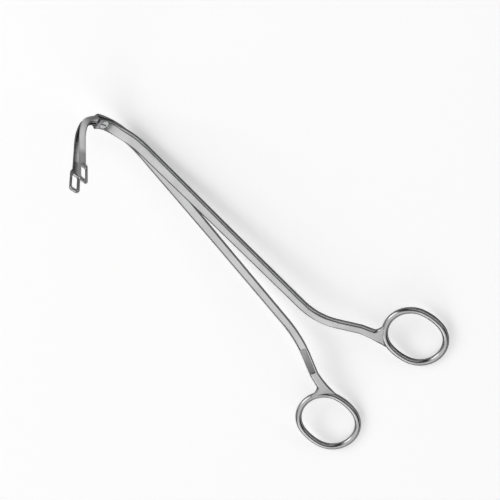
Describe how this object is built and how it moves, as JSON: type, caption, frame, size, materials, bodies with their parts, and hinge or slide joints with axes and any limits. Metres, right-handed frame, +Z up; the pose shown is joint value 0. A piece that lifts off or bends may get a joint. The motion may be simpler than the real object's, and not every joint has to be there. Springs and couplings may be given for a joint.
{
  "type": "kidney stone forceps",
  "caption": "Ring-handled steel forceps whose slim jaws curve up past a screw joint in the bend and end in small fenestrated tips, lying slightly open.",
  "frame": {"origin": "centre of the underside of the box round the whole forceps, on the surface that it lies on", "axes": "+X along the length towards the finger rings, +Y towards the ring of the upper arm, +Z up, the way the jaws curve"},
  "size_m": [0.2046, 0.0934, 0.0915],
  "materials": {
    "forged_steel": "satin",
    "screw_steel": "satin"
  },
  "bodies": {
    "lower": {"lower_arm": "forged_steel", "pivot_screw": "screw_steel"},
    "upper": {"upper_arm": "forged_steel"}
  },
  "joints": [
    {"name": "arm_hinge", "type": "hinge", "parent": "lower", "child": "upper", "pos_m": [-0.09634, 0, 0.01512], "axis": [0.8375, 0, 0.5465], "range_deg": [-5.8, 20]}
  ]
}
